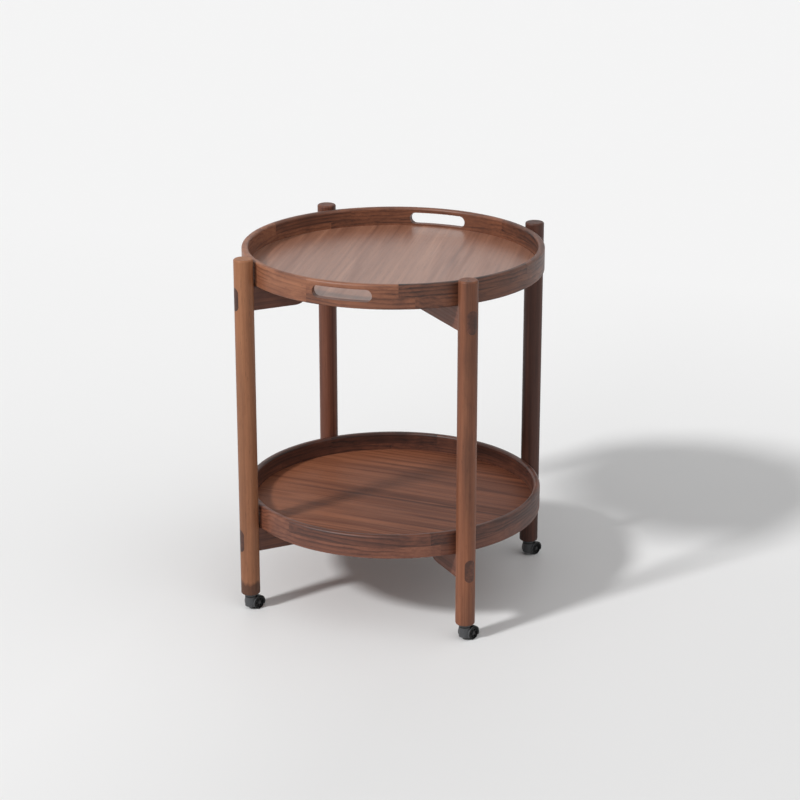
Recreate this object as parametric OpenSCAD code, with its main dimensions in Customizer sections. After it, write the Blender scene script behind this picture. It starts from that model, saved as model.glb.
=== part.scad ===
// Two-tier round room service table on a folding base of crossed rails, with four swivel castors.
// Millimetres. The origin is on the floor under the centre, +Z is up, and the handle slots face -Y and +Y.

/* [Trays] */
// Outside diameter of both round trays
tray_d = 500; // [440:10:560]
// Height of a tray's rim
rim_h = 40; // [36:1:50]
// Thickness of the rim's wall
rim_t = 11; // [9.5:0.5:16]
// Radius on the rim's top edges
rim_round = 4; // [1:0.5:4.5]
// Radius on the rim's foot
foot_round = 2; // [0.5:0.5:2.5]
// Thickness of a tray's floor
floor_t = 6; // [4:0.5:8]
// Height of the floor's underside over the rim's foot
floor_lift = 2.5; // [1:0.5:5]
// Depth of the rabbet that holds the floor's tongue
rabbet = 5.5; // [3:0.5:6]
// Thickness of the tongue round the floor's edge
tongue_t = 3; // [2:0.5:3.5]

/* [Handle slots] */
// Length of a handle slot
slot_len = 100; // [80:2:110]
// Height of a handle slot
slot_h = 20; // [14:1:22]
// Height of the slot's middle over the rim's foot
slot_up = 21.5; // [20:0.5:24]

/* [Legs] */
// Diameter of a leg
leg_d = 32; // [28:1:40]
// Length of a leg
leg_len = 582; // [560:1:640]
// Radius on a leg's ends
leg_round = 3; // [1:0.5:5]
// How far a leg stands over the upper tray's rim
leg_proud = 6; // [0:1:16]
// Gap between a tray's rim and a leg
tray_gap = 1; // [0.5:0.5:4]

/* [Rails] */
// Thickness of a rail
rail_t = 18; // [16:1:22]
// Height of a rail
rail_h = 40; // [34:1:46]
// Height of the lower rails over a leg's foot
lower_rail_up = 77; // [50:1:100]
// How much smaller a tenon is than its rail, on each side
tenon_shoulder = 0.5; // [0.3:0.1:1]
// Distance from the centre at which a rail's relief starts
relief_start = 180; // [160:1:190]
// Radius of the two curves that lead into a rail's relief
relief_round = 22; // [20:1:30]
// Gap between the crossed rails, filled by a washer
crossing_gap = 1; // [0.5:0.5:3]

/* [Pivots] */
// Diameter of the sleeve nut that the rails turn on
sleeve_d = 9; // [8:0.5:11]
// Diameter of the bolt in the sleeve nut
bolt_d = 6; // [5:0.5:7]
// Length of the bolt under its head
bolt_len = 20; // [12:1:28]
// Diameter of the heads of bolt and sleeve nut
head_d = 13; // [12:0.5:13.5]
// Height of the heads of bolt and sleeve nut
head_t = 2; // [1.5:0.25:3]
// How far the heads are sunk below the rail's edge
head_sink = 0.3; // [0.1:0.1:1]
// Width across flats of the bolt's hexagon socket
key_w = 4; // [3:0.5:5]
// Diameter of the washer between the rails
washer_d = 17; // [14:1:20]

/* [Castors] */
// Diameter of a castor wheel
wheel_d = 22; // [20:1:30]
// Width of a castor wheel
wheel_w = 7.5; // [6:0.5:10]
// Radius on the edges of a wheel's tread
tread_round = 1.5; // [0.5:0.25:2]
// Width of a wheel's raised outer ring
tread_t = 2.5; // [2:0.25:3]
// Depth of the dish in a wheel's outer face
dish = 1.5; // [1.25:0.25:2]
// Number of round pockets in a wheel's dish
pockets = 6; // [5:1:7]
// Diameter of a pocket
pocket_d = 3; // [2:0.25:3]
// Depth of a pocket
pocket_depth = 3; // [1:0.5:4]
// Thickness of the web between the two wheels
web_t = 8; // [8:0.5:10]
// Gap between a wheel and the hood round it
wheel_gap = 0.5; // [0.4:0.1:1]
// Thickness of the hood's shell
hood_t = 1.2; // [1:0.1:2]
// Height of the hood's lower edge over the ground
hood_up = 6; // [4:0.5:7]
// Height of the hood's crown over its round shell
crown = 0.6; // [0.5:0.1:1.5]
// Distance from the swivel axis to the axle
trail = 9; // [8:0.5:14]
// Diameter of the collar and of the hood's neck under it
collar_d = 20; // [18:0.5:24]
// Height of the collar
collar_h = 3.7; // [3:0.1:6]
// Gap between the collar and the hood's crown
swivel_gap = 0.5; // [0.3:0.1:1]
// Diameter of the stem
stem_d = 6; // [5:0.5:6]
// Length of the stem in the leg
stem_len = 22; // [18:1:30]
// Depth of the stem in the hood
stem_seat = 11; // [9:0.5:12]
// Wall of the sleeve round the stem
socket_wall = 1.5; // [1:0.25:2.5]
// Width of the bearing land round the stem on the hood's crown
land_w = 2; // [1.5:0.25:3]
// Distance from the stem's tip to its grip ring
ring_down = 4; // [3:0.5:6]
// Height of the grip ring
ring_h = 1; // [0.8:0.1:1.5]
// Thickness of the grip ring
ring_t = 0.7; // [0.5:0.1:1]
// Diameter of the axle
axle_d = 3; // [2.5:0.25:3.5]
// Diameter of the axle's rivet heads
rivet_d = 6; // [5:0.5:7]
// Height of the axle's rivet heads
rivet_t = 0.8; // [0.6:0.1:0.9]
// Direction in which the castors trail, from +X
castor_yaw = 65; // [0:5:355]

/* [Fits] */
// Gap in a glued, pressed or screwed fit
glue_gap = 0.1; // [0.05:0.05:0.3]
// Radial clearance of a turning fit
run_gap = 0.06; // [0.03:0.01:0.1]

/* [Hidden] */
tray_r = tray_d / 2;
course_h = rim_h / 2;
shoulder_up = floor_lift + tongue_t;
clear_r = tray_r - rim_t;
seam_angle = glue_gap / tray_r * 180 / PI;

leg_r = leg_d / 2;
leg_circle = tray_r + tray_gap + leg_r;

axle_up = wheel_d / 2;
well_r = wheel_d / 2 + wheel_gap;
hood_r = well_r + hood_t;
crown_up = axle_up + hood_r + crown;
hood_w = web_t + 2 * (wheel_gap + wheel_w);
hub_w = wheel_w - dish;
pocket_circle = (wheel_d / 2 - tread_t + rivet_d / 2) / 2;
collar_up = crown_up + swivel_gap;
leg_up = collar_up + collar_h;
stem_bore = stem_d + 2 * run_gap;
socket_d = stem_bore + 2 * socket_wall;
ring_up = leg_up + stem_len - ring_down;

lower_rail_up_z = leg_up + lower_rail_up;
upper_rail_up_z = leg_up + leg_len - leg_proud - rim_h - rail_h;
lower_tray_up = lower_rail_up_z + rail_h;
upper_tray_up = upper_rail_up_z + rail_h;

relief_h = (rail_h + crossing_gap) / 2;
relief_run = sqrt(4 * relief_round * relief_h - pow(relief_h, 2));
head_bore_h = head_t + head_sink;
sleeve_len = rail_h - 2 * head_bore_h;

// Directions of the butt joints between the blocks of each rim course, from +X
upper_top_joints = [58, 127, 166, 256, 291, 348];
upper_foot_joints = [15, 48, 136, 195, 256, 297];
lower_top_joints = [35, 90, 137, 190, 246, 303];
lower_foot_joints = [46, 110, 165, 225, 307, 336];

// Each corner's name and the direction of its leg from +X
corners = [["front_left", 225], ["front_right", 315], ["back_right", 45], ["back_left", 135]];
main_angle = 45;
cross_angle = 135;

walnut = [0.48, 0.31, 0.21];
dark_walnut = [0.36, 0.23, 0.16];
light_walnut = [0.62, 0.46, 0.38];
steel = [0.62, 0.63, 0.65];
black_plastic = [0.13, 0.13, 0.14];
grey_plastic = [0.3, 0.3, 0.31];
nylon = [0.82, 0.81, 0.78];

castor_pieces = ["socket", "stem", "grip_ring", "hood", "axle", "left_wheel", "right_wheel"];
$fn = 96;

// ---- outlines ----

// What a rounding takes off a corner: the tip is at the origin, the body lies towards -X and +Y
module corner_off(r) {
    difference() {
        translate([-r, -r]) square(2 * r);
        translate([-r, r]) circle(r = r);
    }
}

// A slot outline along Y with fully round ends
module full_round(width, length) {
    square([width, length - width], center = true);
    for (side = [-1, 1])
        translate([0, side * (length - width) / 2]) circle(d = width);
}

// Section of a rim's top course, at its true radius
module top_course_section() {
    difference() {
        translate([clear_r, 0]) square([rim_t, course_h]);
        translate([tray_r, course_h]) mirror([0, 1]) corner_off(rim_round);
        translate([clear_r, course_h]) mirror([1, 0]) mirror([0, 1]) corner_off(rim_round);
    }
}

// Section of a rim's foot course, with the rabbet for the floor
module foot_course_section() {
    difference() {
        translate([clear_r, 0]) square([rim_t, course_h]);
        translate([clear_r - rim_t + rabbet, -course_h]) square([rim_t, course_h + shoulder_up]);
        translate([tray_r, 0]) corner_off(foot_round);
    }
}

// Half of the relief under a rail, for the positive side: flat to the centre, then two tangent curves
module half_relief() {
    flat_end = relief_start - relief_run;
    square([flat_end, relief_h]);
    intersection() {
        translate([flat_end, relief_h - relief_round]) circle(r = relief_round);
        translate([flat_end - relief_run / 2, 0]) square([relief_run, relief_h]);
    }
    difference() {
        translate([flat_end, 0]) square([relief_run, relief_h / 2]);
        translate([relief_start, relief_round]) circle(r = relief_round);
    }
}

module relief() {
    half_relief();
    mirror([1, 0]) half_relief();
}

// Side view of a rail; the one that passes over is relieved from below, the other from above
module rail_side(over) {
    difference() {
        translate([-leg_circle, 0]) square([2 * leg_circle, rail_h]);
        if (over)
            relief();
        else
            translate([0, rail_h]) mirror([0, 1]) relief();
    }
}

module wheel_section() {
    bore_r = axle_d / 2 + run_gap;
    difference() {
        translate([bore_r, 0]) square([wheel_d / 2 - bore_r, wheel_w]);
        translate([wheel_d / 2, 0]) corner_off(tread_round);
        translate([wheel_d / 2, wheel_w]) mirror([0, 1]) corner_off(tread_round);
        translate([0, hub_w]) square([wheel_d / 2 - tread_t, 2 * dish]);
    }
}

// ---- places ----

module at_leg(angle) {
    rotate([0, 0, angle]) translate([leg_circle, 0, 0]) children();
}

// The swivel axis of a castor, turned so that the castor trails along the children's +X
module at_castor(angle) {
    rotate([0, 0, angle]) translate([leg_circle, 0, 0]) rotate([0, 0, castor_yaw - angle]) children();
}

module at_axle() {
    translate([trail, 0, axle_up]) rotate([90, 0, 0]) children();
}

// ---- legs and rails ----

module mortise(up) {
    translate([0, 0, up + rail_h / 2]) rotate([90, 0, 90])
        linear_extrude(height = 2 * leg_d, center = true)
            full_round(rail_t - 2 * (tenon_shoulder - glue_gap), rail_h - 2 * (tenon_shoulder - glue_gap));
}

module leg(angle) {
    color(walnut) at_leg(angle) difference() {
        translate([0, 0, leg_up]) rotate_extrude() difference() {
            square([leg_r, leg_len]);
            translate([leg_r, 0]) corner_off(leg_round);
            translate([leg_r, leg_len]) mirror([0, 1]) corner_off(leg_round);
        }
        mortise(lower_rail_up_z);
        mortise(upper_rail_up_z);
        translate([0, 0, leg_up - leg_round])
            cylinder(d = socket_d + 2 * glue_gap, h = leg_round + stem_len + socket_wall + glue_gap);
    }
}

// Through tenon on the rail's positive end, flush with the outside of the leg
module tenon() {
    translate([leg_circle, 0, rail_h / 2]) intersection() {
        rotate([90, 0, 90]) linear_extrude(height = 4 * leg_r, center = true)
            full_round(rail_t - 2 * tenon_shoulder, rail_h - 2 * tenon_shoulder);
        union() {
            cylinder(r = leg_r, h = 2 * rail_h, center = true);
            translate([-2 * leg_r, -leg_r, -rail_h]) cube([2 * leg_r, leg_d, 2 * rail_h]);
        }
    }
}

// A rail along X with its foot at Z = 0
module rail(over) {
    head_z = over ? rail_h - head_bore_h : -head_bore_h;
    difference() {
        union() {
            difference() {
                rotate([90, 0, 0]) linear_extrude(height = rail_t, center = true) rail_side(over);
                for (side = [-1, 1])
                    translate([side * leg_circle, 0, -rail_h]) cylinder(r = leg_r + glue_gap, h = 3 * rail_h);
            }
            tenon();
            mirror([1, 0, 0]) tenon();
        }
        translate([0, 0, -rail_h]) cylinder(d = sleeve_d + 2 * run_gap, h = 3 * rail_h);
        translate([0, 0, head_z]) cylinder(d = head_d + 2 * glue_gap, h = 2 * head_bore_h);
    }
}

module main_upper_rail() {
    color(dark_walnut) translate([0, 0, upper_rail_up_z]) rotate([0, 0, main_angle]) rail(true);
}

module main_lower_rail() {
    color(dark_walnut) translate([0, 0, lower_rail_up_z]) rotate([0, 0, main_angle]) rail(false);
}

module cross_upper_rail() {
    color(dark_walnut) translate([0, 0, upper_rail_up_z]) rotate([0, 0, cross_angle]) rail(false);
}

module cross_lower_rail() {
    color(dark_walnut) translate([0, 0, lower_rail_up_z]) rotate([0, 0, cross_angle]) rail(true);
}

// ---- pivots, for a rail crossing whose foot is at the given height ----

module pivot_sleeve(up) {
    color(steel) translate([0, 0, up]) difference() {
        union() {
            translate([0, 0, head_sink]) cylinder(d = head_d, h = head_t);
            translate([0, 0, head_bore_h]) cylinder(d = sleeve_d, h = sleeve_len);
        }
        translate([0, 0, rail_h - head_bore_h - bolt_len - bolt_d / 2])
            cylinder(d = bolt_d + 2 * glue_gap, h = bolt_len + bolt_d);
    }
}

module pivot_bolt(up) {
    color(steel) translate([0, 0, up + rail_h - head_bore_h]) difference() {
        union() {
            cylinder(d = head_d, h = head_t);
            translate([0, 0, -bolt_len]) cylinder(d = bolt_d, h = bolt_len + head_t / 2);
        }
        translate([0, 0, head_t / 4]) cylinder(d = key_w / cos(30), h = head_t, $fn = 6);
    }
}

module pivot_washer(up) {
    color(nylon) translate([0, 0, up + (rail_h - crossing_gap) / 2]) difference() {
        cylinder(d = washer_d, h = crossing_gap);
        translate([0, 0, -crossing_gap]) cylinder(d = sleeve_d + 2 * glue_gap, h = 3 * crossing_gap);
    }
}

// ---- trays ----

// One course of a rim: its section in blocks that meet at the given joints
module course(joints) {
    last = len(joints) - 1;
    for (i = [0:last]) {
        next = i < last ? joints[i + 1] : joints[0] + 360;
        rotate([0, 0, joints[i] + seam_angle / 2])
            rotate_extrude(angle = next - joints[i] - seam_angle) children();
    }
}

// The two handle slots, for a tray whose foot is at Z = 0
module handle_slots() {
    for (side = [-1, 1])
        translate([0, side * tray_r, slot_up]) rotate([90, 90, 0])
            linear_extrude(height = tray_r / 2, center = true) full_round(slot_h, slot_len);
}

module upper_tray_top_course() {
    color(walnut) translate([0, 0, upper_tray_up]) difference() {
        translate([0, 0, course_h]) course(upper_top_joints) top_course_section();
        handle_slots();
    }
}

module upper_tray_foot_course() {
    color(walnut) translate([0, 0, upper_tray_up]) difference() {
        course(upper_foot_joints) foot_course_section();
        handle_slots();
    }
}

module lower_tray_top_course() {
    color(walnut) translate([0, 0, lower_tray_up + course_h]) course(lower_top_joints) top_course_section();
}

module lower_tray_foot_course() {
    color(walnut) translate([0, 0, lower_tray_up]) course(lower_foot_joints) foot_course_section();
}

// The panel of a tray, with a tongue that fits under the foot course's shoulder
module tray_floor(up) {
    color(light_walnut) translate([0, 0, up + floor_lift]) {
        cylinder(r = clear_r - glue_gap, h = floor_t);
        cylinder(r = clear_r + rabbet - glue_gap, h = tongue_t);
    }
}

// ---- castors ----

module castor_socket(angle) {
    color(black_plastic) at_castor(angle) difference() {
        union() {
            translate([0, 0, collar_up]) cylinder(d = collar_d, h = collar_h);
            translate([0, 0, collar_up + collar_h / 2])
                cylinder(d = socket_d, h = collar_h / 2 + stem_len + socket_wall);
        }
        translate([0, 0, collar_up - collar_h]) cylinder(d = stem_bore, h = 2 * collar_h + stem_len);
    }
}

module castor_stem(angle) {
    tip_up = leg_up + stem_len - glue_gap;
    color(steel) at_castor(angle) difference() {
        translate([0, 0, crown_up - stem_seat]) cylinder(d = stem_d, h = tip_up - crown_up + stem_seat);
        translate([0, 0, ring_up]) difference() {
            cylinder(d = 2 * stem_d, h = ring_h + 2 * run_gap);
            translate([0, 0, -ring_h]) cylinder(d = stem_d - 2 * ring_t, h = 4 * ring_h);
        }
    }
}

// Split ring that snaps the stem into its sleeve
module castor_grip_ring(angle) {
    color(steel) at_castor(angle) translate([0, 0, ring_up + run_gap]) difference() {
        cylinder(d = stem_d, h = ring_h);
        translate([0, 0, -ring_h]) cylinder(d = stem_d - 2 * (ring_t - run_gap), h = 3 * ring_h);
        translate([0, -ring_h / 2, -ring_h]) cube([stem_d, ring_h, 3 * ring_h]);
    }
}

module castor_hood(angle) {
    color(black_plastic) at_castor(angle) difference() {
        union() {
            at_axle() cylinder(r = hood_r, h = hood_w, center = true);
            cylinder(d = collar_d, h = crown_up);
            cylinder(d = stem_d + 2 * land_w, h = collar_up);
        }
        for (side = [-1, 1])
            at_axle() translate([0, 0, side * (web_t + hood_w) / 2])
                cylinder(r = well_r, h = hood_w, center = true);
        translate([-collar_d, -hood_w, -hood_up]) cube([2 * (collar_d + trail), 2 * hood_w, 2 * hood_up]);
        translate([0, 0, crown_up - stem_seat - glue_gap])
            cylinder(d = stem_d + glue_gap, h = stem_seat + 2 * glue_gap + crown_up);
        at_axle() cylinder(d = axle_d + 2 * glue_gap, h = 2 * hood_w, center = true);
    }
}

module castor_axle(angle) {
    rivet_up = web_t / 2 + wheel_gap + hub_w + glue_gap + rivet_t / 2;
    color(steel) at_castor(angle) at_axle() {
        cylinder(d = axle_d, h = 2 * rivet_up, center = true);
        for (side = [-1, 1])
            translate([0, 0, side * rivet_up]) cylinder(d = rivet_d, h = rivet_t, center = true);
    }
}

// side is 1 for the left wheel and -1 for the right one, as seen along the trail
module castor_wheel(angle, side) {
    color(grey_plastic) at_castor(angle) translate([trail, 0, axle_up]) rotate([-90 * side, 0, 0])
        translate([0, 0, web_t / 2 + wheel_gap]) difference() {
            rotate_extrude() wheel_section();
            for (i = [0:pockets - 1])
                rotate([0, 0, i * 360 / pockets]) translate([pocket_circle, 0, hub_w - pocket_depth])
                    cylinder(d = pocket_d, h = 2 * pocket_depth);
        }
}

for (corner = corners)
    leg(corner[1]);
main_upper_rail();
main_lower_rail();
cross_upper_rail();
cross_lower_rail();
pivot_sleeve(upper_rail_up_z);  // upper_pivot_sleeve
pivot_bolt(upper_rail_up_z);  // upper_pivot_bolt
pivot_washer(upper_rail_up_z);  // upper_pivot_washer
pivot_sleeve(lower_rail_up_z);  // lower_pivot_sleeve
pivot_bolt(lower_rail_up_z);  // lower_pivot_bolt
pivot_washer(lower_rail_up_z);  // lower_pivot_washer
upper_tray_top_course();
upper_tray_foot_course();
tray_floor(upper_tray_up);  // upper_tray_floor
lower_tray_top_course();
lower_tray_foot_course();
tray_floor(lower_tray_up);  // lower_tray_floor
for (corner = corners) {
    castor_socket(corner[1]);
    castor_stem(corner[1]);
    castor_grip_ring(corner[1]);
    castor_hood(corner[1]);
    castor_axle(corner[1]);
    castor_wheel(corner[1], 1);
    castor_wheel(corner[1], -1);
}
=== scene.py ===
"""Looks of a two-tier round walnut room service table: its materials, floor, light and camera."""
import math

import bpy
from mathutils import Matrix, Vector


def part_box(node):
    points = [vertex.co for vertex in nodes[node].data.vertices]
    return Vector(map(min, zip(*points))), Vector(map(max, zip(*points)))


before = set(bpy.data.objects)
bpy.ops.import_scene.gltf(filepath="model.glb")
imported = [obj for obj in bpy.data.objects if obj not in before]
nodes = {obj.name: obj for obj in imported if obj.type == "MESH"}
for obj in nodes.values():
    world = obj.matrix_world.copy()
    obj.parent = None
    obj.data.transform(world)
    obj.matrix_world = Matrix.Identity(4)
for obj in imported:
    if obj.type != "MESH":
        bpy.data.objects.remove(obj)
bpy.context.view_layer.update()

corners = ("front_left", "front_right", "back_right", "back_left")


def linear(*srgb):
    """A colour given as sRGB, 0 to 255, in Blender's linear values."""
    values = [v / 255 for v in srgb]
    return tuple(v / 12.92 if v <= 0.04045 else ((v + 0.055) / 1.055) ** 2.4 for v in values) + (1.0,)


def grey(level):
    """A grey of that linear level."""
    return (level, level, level, 1.0)


def direction(azimuth, elevation):
    """The unit vector that points there, in degrees from +X and from the floor."""
    azimuth, elevation = math.radians(azimuth), math.radians(elevation)
    return Vector((math.cos(azimuth) * math.cos(elevation), math.sin(azimuth) * math.cos(elevation),
                   math.sin(elevation)))


def pointed(name, data, backwards):
    """Adds a lamp or camera to the scene, turned so that its back faces backwards."""
    thing = bpy.data.objects.new(name, data)
    thing.rotation_mode = "QUATERNION"
    thing.rotation_quaternion = backwards.to_track_quat("Z", "Y")
    bpy.context.scene.collection.objects.link(thing)
    return thing


# ---- writing node trees ----

class Tree:
    """The node tree of a material or a world. Each call adds a node and gives back its output socket."""

    def __init__(self, owner):
        owner.use_nodes = True
        self.owner = owner
        self.nodes = owner.node_tree.nodes
        self.links = owner.node_tree.links
        self.nodes.clear()

    def add(self, kind, inputs=(), out=0, **settings):
        node = self.nodes.new("ShaderNode" + kind)
        for key, value in settings.items():
            setattr(node, key, value)
        for socket, value in dict(inputs).items():
            if isinstance(value, bpy.types.NodeSocket):
                self.links.new(value, node.inputs[socket])
            else:
                node.inputs[socket].default_value = value
        return node.outputs[out] if node.outputs else None

    def math(self, operation, a, b=0.0):
        return self.add("Math", {0: a, 1: b}, operation=operation)

    def vector_math(self, operation, a, b=(0, 0, 0)):
        return self.add("VectorMath", {0: a, 1: b}, operation=operation)

    def place(self):
        return self.add("TexCoord", out="Object")

    def part(self, vector, axis):
        return self.add("SeparateXYZ", {0: vector}, out=axis)

    def mapped(self, vector, shift=(0, 0, 0), turn=(0, 0, 0), scale=(1, 1, 1)):
        angles = [math.radians(a) for a in turn]
        inputs = {"Vector": vector, "Location": shift, "Rotation": angles, "Scale": scale}
        return self.add("Mapping", inputs)

    def noise(self, vector, scale=1.0, detail=2.0, roughness=0.5, out=0):
        inputs = {"Vector": vector, "Scale": scale, "Detail": detail, "Roughness": roughness}
        return self.add("TexNoise", inputs, out=out)

    def spread(self, value, low, high, to_low=0.0, to_high=1.0):
        inputs = {0: value, 1: low, 2: high, 3: to_low, 4: to_high}
        return self.add("MapRange", inputs)

    def ramp(self, value, stops):
        out = self.add("ValToRGB", {0: value})
        band = out.node.color_ramp
        while len(band.elements) < len(stops):
            band.elements.new(0.5)
        for element, (position, colour) in zip(band.elements, stops):
            element.position = position
            element.color = colour
        return out

    def mix(self, share, a, b):
        return self.add("Mix", {0: share, 6: a, 7: b}, out=2, data_type="RGBA")

    def bump(self, height, distance, strength=1.0):
        return self.add("Bump", {"Height": height, "Distance": distance, "Strength": strength})

    def surface(self, **inputs):
        sockets = {name.replace("_", " "): value for name, value in inputs.items()}
        self.add("OutputMaterial", {"Surface": self.add("BsdfPrincipled", sockets)})
        return self.owner


def new_tree(name):
    """The empty tree of a new material."""
    return Tree(bpy.data.materials.new(name))


# ---- wood ----

pore_colour = linear(38, 22, 17)
streak_colour = linear(50, 32, 27)       # of the legs' dark features
end_grain_colour = linear(52, 31, 24)    # of the tenons' ends


def wood(tree, grain, seed, pith, tones, shift=0.0, ring=0.006, rings=0.12, sway=0.02, bands=0.4, band=60,
         lines=0.3, line=190, veins=0.2, vein=34, ripple=0.06):
    """Walnut in the round, as colour, roughness and normal.

    grain is a vector in metres whose Z runs along the fibres, pith the ring centre across them and tones the
    colours from the darkest to the palest. ring is the width of a ring and sway how far the fibres wander.
    band, line and vein are the scales of broad streaks, fine streaks and dark threads. rings, bands, lines,
    veins and ripple say how much each shows."""
    # The place in an endless block of wood, bent as its fibres wander
    here = tree.vector_math("ADD", grain, (seed * 1.7, seed * 2.3, seed * 3.1))
    wander = tree.noise(tree.mapped(here, scale=(7, 7, 1.6)), detail=2, out=1)
    wander = tree.vector_math("SUBTRACT", wander, (0.5, 0.5, 0.5))
    bend = tree.vector_math("MULTIPLY", wander, (sway, sway, 0))
    bent = tree.vector_math("ADD", grain, bend)
    flow = tree.vector_math("ADD", here, bend)
    # The dark late wood of each ring, which fades in and out
    away = tree.vector_math("MULTIPLY", tree.vector_math("SUBTRACT", bent, (*pith, 0)), (1, 1, 0))
    radius = tree.add("VectorMath", {0: away}, out=1, operation="LENGTH")
    drift = tree.noise(tree.mapped(flow, scale=(50, 50, 4)), detail=3)
    turns = tree.math("ADD", tree.math("DIVIDE", radius, ring), tree.math("MULTIPLY", drift, 1.8))
    late = tree.ramp(tree.math("FRACT", turns), [(0.0, grey(0.3)), (0.1, grey(0.0)), (0.5, grey(0.15)),
                                                 (0.86, grey(1.0)), (1.0, grey(0.5))])
    fade = tree.spread(tree.noise(tree.mapped(flow, scale=(30, 30, 2.5)), detail=2), 0.3, 0.65)
    late = tree.math("MULTIPLY", late, fade)
    # Streaks, threads, fibres and pores along the grain, and a shimmer across it
    broad = tree.noise(tree.mapped(flow, scale=(band, band, band / 30)), detail=3, roughness=0.55)
    thread = tree.noise(tree.mapped(here, shift=(9.1, 4.3, 2.7), scale=(vein, vein, vein / 50)), detail=1)
    thread = tree.math("ABSOLUTE", tree.math("SUBTRACT", thread, 0.5))
    thread = tree.spread(thread, 0.03, 0.0)
    fine = tree.noise(tree.mapped(flow, scale=(line, line, line / 70)), detail=3, roughness=0.6)
    fibres = tree.noise(tree.mapped(flow, scale=(1100, 1100, 14)), detail=2, roughness=0.6)
    vessels = tree.noise(tree.mapped(here, scale=(1500, 1500, 55)), detail=1)
    pores = tree.spread(tree.math("ADD", vessels, tree.math("MULTIPLY", late, -0.06)), 0.63, 0.73)
    shimmer = tree.noise(tree.mapped(flow, scale=(16, 16, 42)), detail=2)
    # The tone: each layer adds weight times how far it is from its middle level
    tone = tree.math("ADD", shift, 0.5)
    layers = (
        (broad, 0.5, 2.2 * bands),
        (fine, 0.5, 2.0 * lines),
        (fibres, 0.5, 0.3),
        (late, 0.35, -2.0 * rings),
        (thread, 0.1, -veins),
        (shimmer, 0.5, ripple),
    )
    for value, level, weight in layers:
        tone = tree.math("ADD", tone, tree.math("MULTIPLY", tree.math("SUBTRACT", value, level), weight))
    colour = tree.ramp(tone, [(i / (len(tones) - 1), t) for i, t in enumerate(tones)])
    colour = tree.mix(tree.math("MULTIPLY", pores, 0.5), colour, pore_colour)
    rough = tree.math("ADD", tree.math("MULTIPLY", fibres, 0.14), tree.math("MULTIPLY", late, 0.06))
    relief = tree.math("SUBTRACT", tree.math("MULTIPLY", fibres, 0.35), pores)
    return colour, rough, tree.bump(relief, 0.00008, 0.7)


def oiled(tree, look, rough=0.42, specular=0.3, coat=0.0):
    """Finishes a wood with an oil or, with some coat, a satin lacquer."""
    colour, grain_rough, normal = look
    return tree.surface(Base_Color=colour, Roughness=tree.math("ADD", grain_rough, rough), Normal=normal,
                        Specular_IOR_Level=specular, Coat_Weight=coat, Coat_Roughness=0.28)


def paint(name, material):
    """Gives a CAD node its material."""
    nodes[name].data.materials.clear()
    nodes[name].data.materials.append(material)


pale = [linear(82, 50, 34), linear(112, 72, 49), linear(134, 88, 61), linear(158, 108, 76)]
brown = [linear(38, 20, 15), linear(84, 49, 34), linear(119, 73, 51), linear(149, 98, 70)]
russet = [linear(34, 17, 13), linear(72, 41, 31), linear(102, 60, 44), linear(130, 82, 61)]
dusk = [linear(26, 14, 12), linear(52, 30, 24), linear(76, 45, 35), linear(102, 64, 49)]

# Each leg, at its angle from +X; shifts says how pale it is at the foot and at the top. A dark feature faces
# the direction towards, reaches round to the cosine edge, lies between the heights foot and top, and fades
# over the length soft.
leg_looks = {
    "front_left": dict(
        angle=225, seed=1.0, pith=(0.09, 0.02), tones=pale, shifts=(0.14, 0.32),
        grain=dict(bands=0.2, lines=0.2, rings=0.06, veins=0.06),
        darks=[dict(towards=275, edge=-0.2, foot=-0.02, top=0.056, strength=0.72, soft=0.006),
               dict(towards=225, edge=0.6, foot=0.03, top=0.5, strength=0.22, soft=0.1)]),
    "front_right": dict(
        angle=315, seed=2.0, pith=(0.03, 0.015), tones=brown, shifts=(0.2, 0.02),
        grain=dict(bands=0.32, lines=0.2, rings=0.05, veins=0.08),
        darks=[dict(towards=292, edge=0.93, foot=0.16, top=0.75, strength=0.52, soft=0.12),
               dict(towards=315, edge=0.7, foot=-0.08, top=0.11, strength=0.34, soft=0.08)]),
    "back_right": dict(
        angle=45, seed=3.0, pith=(-0.05, 0.03), tones=dusk, shifts=(0.04, 0.0),
        grain=dict(bands=0.4, rings=0.1), darks=[]),
    "back_left": dict(
        angle=135, seed=4.0, pith=(0.04, -0.05), tones=russet, shifts=(0.16, 0.02),
        grain=dict(bands=0.35, rings=0.1), darks=[]),
}


def darkened(tree, colour, facing, height, wave, towards, edge, foot, top, strength, soft):
    """One dark feature of a leg, with a wavy outline."""
    ray = direction(towards, 0)
    share = tree.add("VectorMath", {0: facing, 1: ray}, out=1, operation="DOT_PRODUCT")
    share = tree.math("ADD", share, tree.math("MULTIPLY", wave, 0.3))
    share = tree.spread(share, edge - 0.1, edge + 0.08)
    share = tree.math("MULTIPLY", share, tree.spread(height, foot, foot + soft))
    share = tree.math("MULTIPLY", share, tree.spread(height, top, top - soft))
    return tree.mix(tree.math("MULTIPLY", share, strength), colour, streak_colour)


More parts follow.
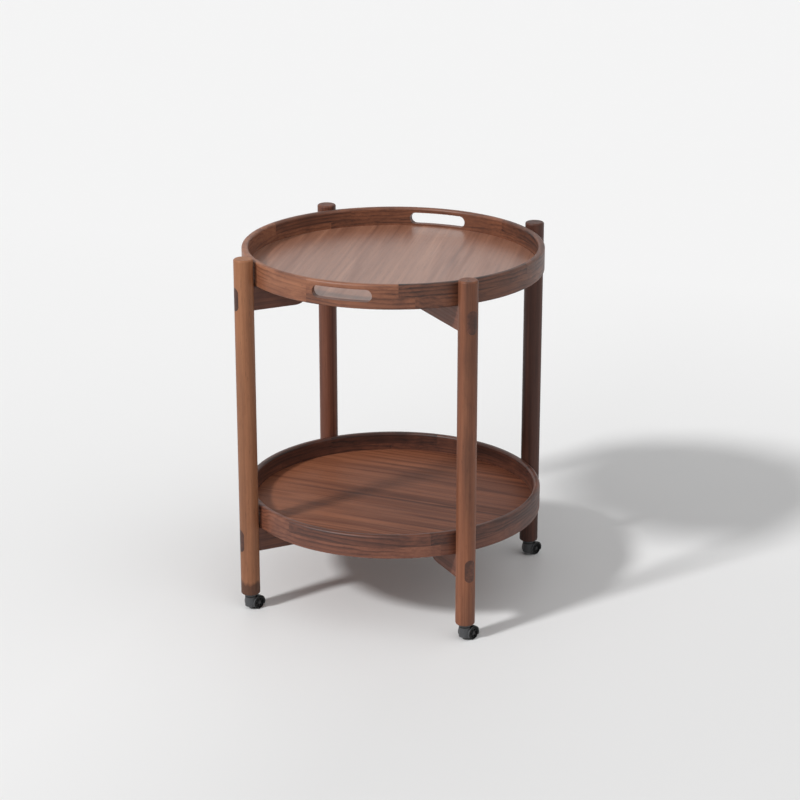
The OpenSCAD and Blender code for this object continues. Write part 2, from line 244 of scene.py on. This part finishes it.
def leg_material(name, angle, seed, pith, tones, shifts, grain, darks):
    """A leg's grain runs upwards; pith is taken from the leg's own axis."""
    tree = new_tree(name)
    low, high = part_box(name)
    middle = (low + high) / 2
    upright = tree.mapped(tree.place(), shift=(-middle.x, -middle.y, 0))
    height = tree.part(upright, "Z")
    colour, rough, normal = wood(tree, tree.mapped(upright, turn=(0, 0, -angle)), seed, pith, tones,
                                 shift=tree.spread(height, 0.05, 0.6, *shifts), **grain)
    wave = tree.noise(tree.mapped(upright, shift=(seed, 0, 0), scale=(60, 60, 14)), detail=3)
    wave = tree.math("SUBTRACT", wave, 0.5)
    facing = tree.vector_math("MULTIPLY", upright, (1, 1, 0))
    facing = tree.add("VectorMath", {0: facing}, operation="NORMALIZE")
    height = tree.math("ADD", height, tree.math("MULTIPLY", wave, 0.03))
    for dark in darks:
        colour = darkened(tree, colour, facing, height, wave, **dark)
    return oiled(tree, (colour, rough, normal))


for corner, look in leg_looks.items():
    paint(f"{corner}_leg", leg_material(f"{corner}_leg", **look))


tenon_end = (0.268, 0.272)    # distances from the centre between which the dark end grain sets in


def rail_material(name, angle, seed, shift):
    """A rail's grain runs along it, in the direction angle from +X, and shift says how pale it is."""
    tree = new_tree(name)
    grain = tree.mapped(tree.place(), turn=(0, 0, -angle))
    grain = tree.mapped(grain, turn=(0, -90, 0))
    colour, rough, normal = wood(tree, grain, seed, (0.03, 0.06), russet, shift, bands=0.26, rings=0.08)
    along = tree.math("ABSOLUTE", tree.part(grain, "Z"))
    share = tree.spread(along, *tenon_end)
    patchy = tree.spread(tree.noise(grain, scale=70, detail=2), 0.36, 0.58, 0.4, 0.8)
    colour = tree.mix(tree.math("MULTIPLY", share, patchy), colour, end_grain_colour)
    return oiled(tree, (colour, rough, normal), specular=0.4)


# Each rail: its direction from +X, its seed and how pale it is
rail_looks = {
    "main_upper_rail": (45, 11.0, 0.04), "main_lower_rail": (45, 12.0, 0.0),
    "cross_upper_rail": (135, 13.0, 0.12), "cross_lower_rail": (135, 14.0, 0.2),
}
for name, look in rail_looks.items():
    paint(name, rail_material(name, *look))


def stepped(tree, value, edges, levels):
    """A stair: levels[0] below the first edge, levels[1] from there to the second, and so on."""
    total = levels[0]
    for edge, before, after in zip(edges, levels, levels[1:]):
        step = tree.math("MULTIPLY", tree.math("GREATER_THAN", value, edge), after - before)
        total = tree.math("ADD", step, total)
    return total


def course_material(name, seed, tones, joints, shifts, turns):
    """A rim course of blocks between joints. Each block is a board of its own, with its tone and its turn
    from the chord; the lists start with the block across +X, before the first joint."""
    tree = new_tree(name)
    place = tree.place()
    x = tree.part(place, "X")
    y = tree.part(place, "Y")
    angle = tree.math("FLOORED_MODULO", tree.math("ARCTAN2", y, x), 2 * math.pi)
    starts = [joints[-1] - 360] + joints
    ends = joints + [joints[0] + 360]
    middles = [(a + b) / 2 for a, b in zip(starts, ends)]
    edges = [math.radians(j) for j in joints]
    yaws = [math.radians(m + t) for m, t in zip(middles, turns + turns[:1])]
    yaw = stepped(tree, angle, edges, yaws)
    block = stepped(tree, angle, edges, list(range(len(joints))) + [0])
    shift = stepped(tree, angle, edges, shifts + shifts[:1])
    lot = tree.add("TexWhiteNoise", {"W": tree.math("ADD", block, seed)}, out=1, noise_dimensions="1D")
    board = tree.add("VectorRotate", {"Vector": place, "Angle": tree.math("MULTIPLY", yaw, -1.0)},
                     rotation_type="Z_AXIS")
    board = tree.mapped(board, turn=(90, 0, 0))
    lot = tree.vector_math("SUBTRACT", lot, (0.5, 0.5, 0.5))
    grain = tree.vector_math("ADD", board, tree.vector_math("MULTIPLY", lot, (0.12, 0.16, 0.5)))
    look = wood(tree, grain, seed, (0.21, 0.03), tones, shift, ring=0.007, rings=0.2, sway=0.036,
                bands=0.24, band=48, lines=0.26, line=240, veins=0.07, ripple=0.26)
    return oiled(tree, look, rough=0.38, specular=0.45)


# Each course: its seed and tones, and block by block the joint after it, how pale it is and its turn
course_looks = {
    # The upper top course's block from 291° to 348° and the upper foot course's block from 297° to 15° are
    # darker partly in their own tone and partly as painted shade of the front right leg's shadow
    "upper_tray_top_course": (21.0, brown, [58, 127, 166, 256, 291, 348],
                              [-0.22, -0.04, -0.08, 0.2, 0.12, -0.24], [0, 0, 0, 40, 0, 0]),
    "upper_tray_foot_course": (22.0, brown, [15, 48, 136, 195, 256, 297],
                               [-0.18, -0.18, -0.06, 0.14, 0.17, -0.02], [0, 0, 0, 30, 15, 0]),
    "lower_tray_top_course": (23.0, russet, [35, 90, 137, 190, 246, 303],
                              [-0.23, -0.22, -0.32, -0.28, 0.16, -0.12], [0, 0, 0, 0, 50, 0]),
    "lower_tray_foot_course": (24.0, russet, [46, 110, 165, 225, 307, 336],
                               [-0.1, -0.12, -0.1, 0.0, 0.14, -0.02], [0, 0, 0, 0, 0, 0]),
}
for name, look in course_looks.items():
    paint(name, course_material(name, *look))


def floor_material(name, turn, seed, tones, finish, painted_sheen_shade=(0.0, 0.0), **more):
    """A tray's veneered panel. turn brings the direction of its fibres to Y, and the last pair says how pale
    it is at its left and right ends; that run from pale to dark is painted light, a painted reflection at the
    left and painted shade at the right."""
    tree = new_tree(name)
    grain = tree.mapped(tree.place(), turn=(0, 0, turn))
    grain = tree.mapped(grain, turn=(90, 0, 0))
    x = tree.part(tree.place(), "X")
    look = wood(tree, grain, seed, (0.02, 0.6), tones, tree.spread(x, -0.2, 0.2, *painted_sheen_shade), ring=0.004,
                sway=0.012, ripple=0.05, line=150, **more)
    return oiled(tree, look, **finish)


veneer = [linear(84, 52, 40), linear(120, 79, 61), linear(142, 98, 77), linear(168, 122, 98)]
chestnut = [linear(34, 16, 11), linear(74, 41, 29), linear(106, 62, 43), linear(136, 85, 60)]
satin = dict(rough=0.3, specular=0.5, coat=0.35)
dull = dict(rough=0.42, specular=0.2)
paint("upper_tray_floor", floor_material("upper_tray_floor", -8, 31.0, veneer, satin, bands=0.3, lines=0.46,
                                         rings=0.12, veins=0.12))
# The lower panel is paler at the left as a painted reflection and darker at the right as painted shade
paint("lower_tray_floor", floor_material("lower_tray_floor", 94, 32.0, chestnut, dull, (0.42, -0.06),
                                         bands=0.26, lines=0.42, rings=0.14))


# ---- plastics and metals ----

def plastic_material(name, colour, dusty, rough, painted_shade_up=None, specular=0.5):
    """Moulded plastic with a fine spark texture, faint flow marks and dusty spots; above the height it is
    given, it is painted black as the shade in the gap under the collar.
    """
    tree = new_tree(name)
    place = tree.place()
    spark = tree.noise(place, scale=2600, detail=2)
    flow = tree.noise(tree.mapped(place, scale=(60, 60, 140)), detail=3, roughness=0.6)
    dust = tree.spread(tree.noise(place, scale=320, detail=3, roughness=0.7), 0.55, 0.8)
    shade = tree.mix(tree.math("MULTIPLY", dust, 0.35), colour, dusty)
    # Painted shade: above the given height the plastic turns black, standing in for the shadow in the gap
    # under the collar
    if painted_shade_up is not None:
        height = tree.part(place, "Z")
        shade = tree.mix(tree.spread(height, painted_shade_up, painted_shade_up + 0.0006), shade, linear(8, 8, 9))
    roughness = tree.math("ADD", tree.math("MULTIPLY", flow, 0.16), rough)
    normal = tree.bump(spark, 0.00003, 0.5)
    return tree.surface(Base_Color=shade, Roughness=roughness, Normal=normal, Specular_IOR_Level=specular)


def steel_material(name):
    """Bright zinc with fine turning marks."""
    tree = new_tree(name)
    place = tree.place()
    marks = tree.noise(tree.mapped(place, scale=(300, 300, 5200)), detail=2)
    cloud = tree.noise(place, scale=260, detail=3)
    shade = tree.mix(cloud, linear(176, 178, 182), linear(205, 206, 208))
    roughness = tree.spread(marks, 0.2, 0.8, 0.24, 0.42)
    normal = tree.bump(marks, 0.00001)
    return tree.surface(Base_Color=shade, Metallic=1.0, Roughness=roughness, Normal=normal)


gap_shade_up = 0.0222    # height at which the hood's neck starts, above which the hood is painted black as the shade in the gap under the collar
collar_plastic = plastic_material("collar_plastic", linear(56, 61, 64), linear(84, 89, 92), 0.3)
hood_plastic = plastic_material("castor_plastic", linear(60, 61, 63), linear(88, 89, 91), 0.36, gap_shade_up)
wheel_nylon = plastic_material("wheel_nylon", linear(15, 15, 16), linear(34, 34, 34), 0.46, specular=0.25)
washer_nylon = plastic_material("washer_nylon", linear(222, 218, 208), linear(236, 234, 228), 0.4)
black_steel = plastic_material("black_steel", linear(24, 24, 26), linear(48, 48, 50), 0.3)
steel = steel_material("zinc_steel")
castor_looks = {
    "socket": collar_plastic, "stem": steel, "grip_ring": steel, "hood": hood_plastic,
    "axle": black_steel, "left_wheel": wheel_nylon, "right_wheel": wheel_nylon,
}
for corner in corners:
    for piece, material in castor_looks.items():
        paint(f"{corner}_castor_{piece}", material)
for level in ("upper", "lower"):
    paint(f"{level}_pivot_sleeve", steel)
    paint(f"{level}_pivot_bolt", steel)
    paint(f"{level}_pivot_washer", washer_nylon)


# ---- stage ----

def stage_material():
    """Pale floor paint, with painted shade that makes it a little darker to the right, and lighter far behind
    the table.
    """
    tree = new_tree("stage_floor")
    place = tree.place()
    # Painted shade: the floor colour darkens towards the right
    right = tree.spread(tree.part(place, "X"), -0.35, 0.15)
    far = tree.spread(tree.part(place, "Y"), 0.2, 2.0)
    fine = tree.noise(place, scale=9, detail=3)
    near = tree.mix(right, linear(238, 238, 238), linear(226, 226, 226))
    shade = tree.mix(far, near, linear(242, 242, 242))
    rough = tree.spread(fine, 0.0, 1.0, 0.5, 0.6)
    return tree.surface(Base_Color=shade, Roughness=rough, IOR=1.4)


floor_reach = 40.0
floor_corners = [(x * floor_reach, y * floor_reach, 0) for x, y in ((-1, -1), (1, -1), (1, 1), (-1, 1))]
floor_mesh = bpy.data.meshes.new("stage_floor")
floor_mesh.from_pydata(floor_corners, [], [(0, 1, 2, 3)])
floor_mesh.materials.append(stage_material())
floor = bpy.data.objects.new("stage_floor", floor_mesh)
bpy.context.scene.collection.objects.link(floor)


# ---- light ----

key = bpy.data.lights.new("key", "SUN")
key.energy = 2.42
key.angle = math.radians(7.5)
pointed("key", key, direction(237, 38.5))

fill_from = direction(325, 25)       # where most of the fill comes from
fill_levels = (0.19, 1.26)           # away from there and right there
fill_heights = (0.1, 0.42)           # sines of the elevations between which the fill sets in
backdrop_colour = linear(240, 240, 240)


def studio():
    """A soft fill that leans to one side, and a plain backdrop for the camera and for reflections."""
    world = bpy.data.worlds.new("studio")
    tree = Tree(world)
    rays = tree.add("LightPath").node.outputs
    seen = tree.math("MAXIMUM", rays["Is Camera Ray"], rays["Is Glossy Ray"])
    seen = tree.math("MAXIMUM", seen, rays["Is Transmission Ray"])
    ray = tree.add("TexCoord", out="Generated")
    facing = tree.add("VectorMath", {0: ray, 1: fill_from}, out=1, operation="DOT_PRODUCT")
    level = tree.spread(facing, 0.0, 1.0, *fill_levels)
    risen = tree.spread(tree.part(ray, "Z"), *fill_heights)
    fill = tree.add("Background", {"Color": grey(1.0), "Strength": tree.math("MULTIPLY", level, risen)})
    backdrop = tree.add("Background", {"Color": backdrop_colour})
    tree.add("OutputWorld", {"Surface": tree.add("MixShader", {0: seen, 1: fill, 2: backdrop})})
    return world


bpy.context.scene.world = studio()


# ---- camera ----

view_azimuth, view_elevation = 18.966, 19.022     # the photograph's; azimuth 0 looks along +Y
camera = bpy.data.cameras.new("camera")
camera.lens = 101.96
camera.sensor_width = 36.0
camera_object = pointed("camera", camera, direction(view_azimuth - 90, view_elevation))
camera_object.location = (1.1864, -3.4178, 1.5781)
bpy.context.scene.camera = camera_object
bpy.context.scene.view_settings.view_transform = "Standard"
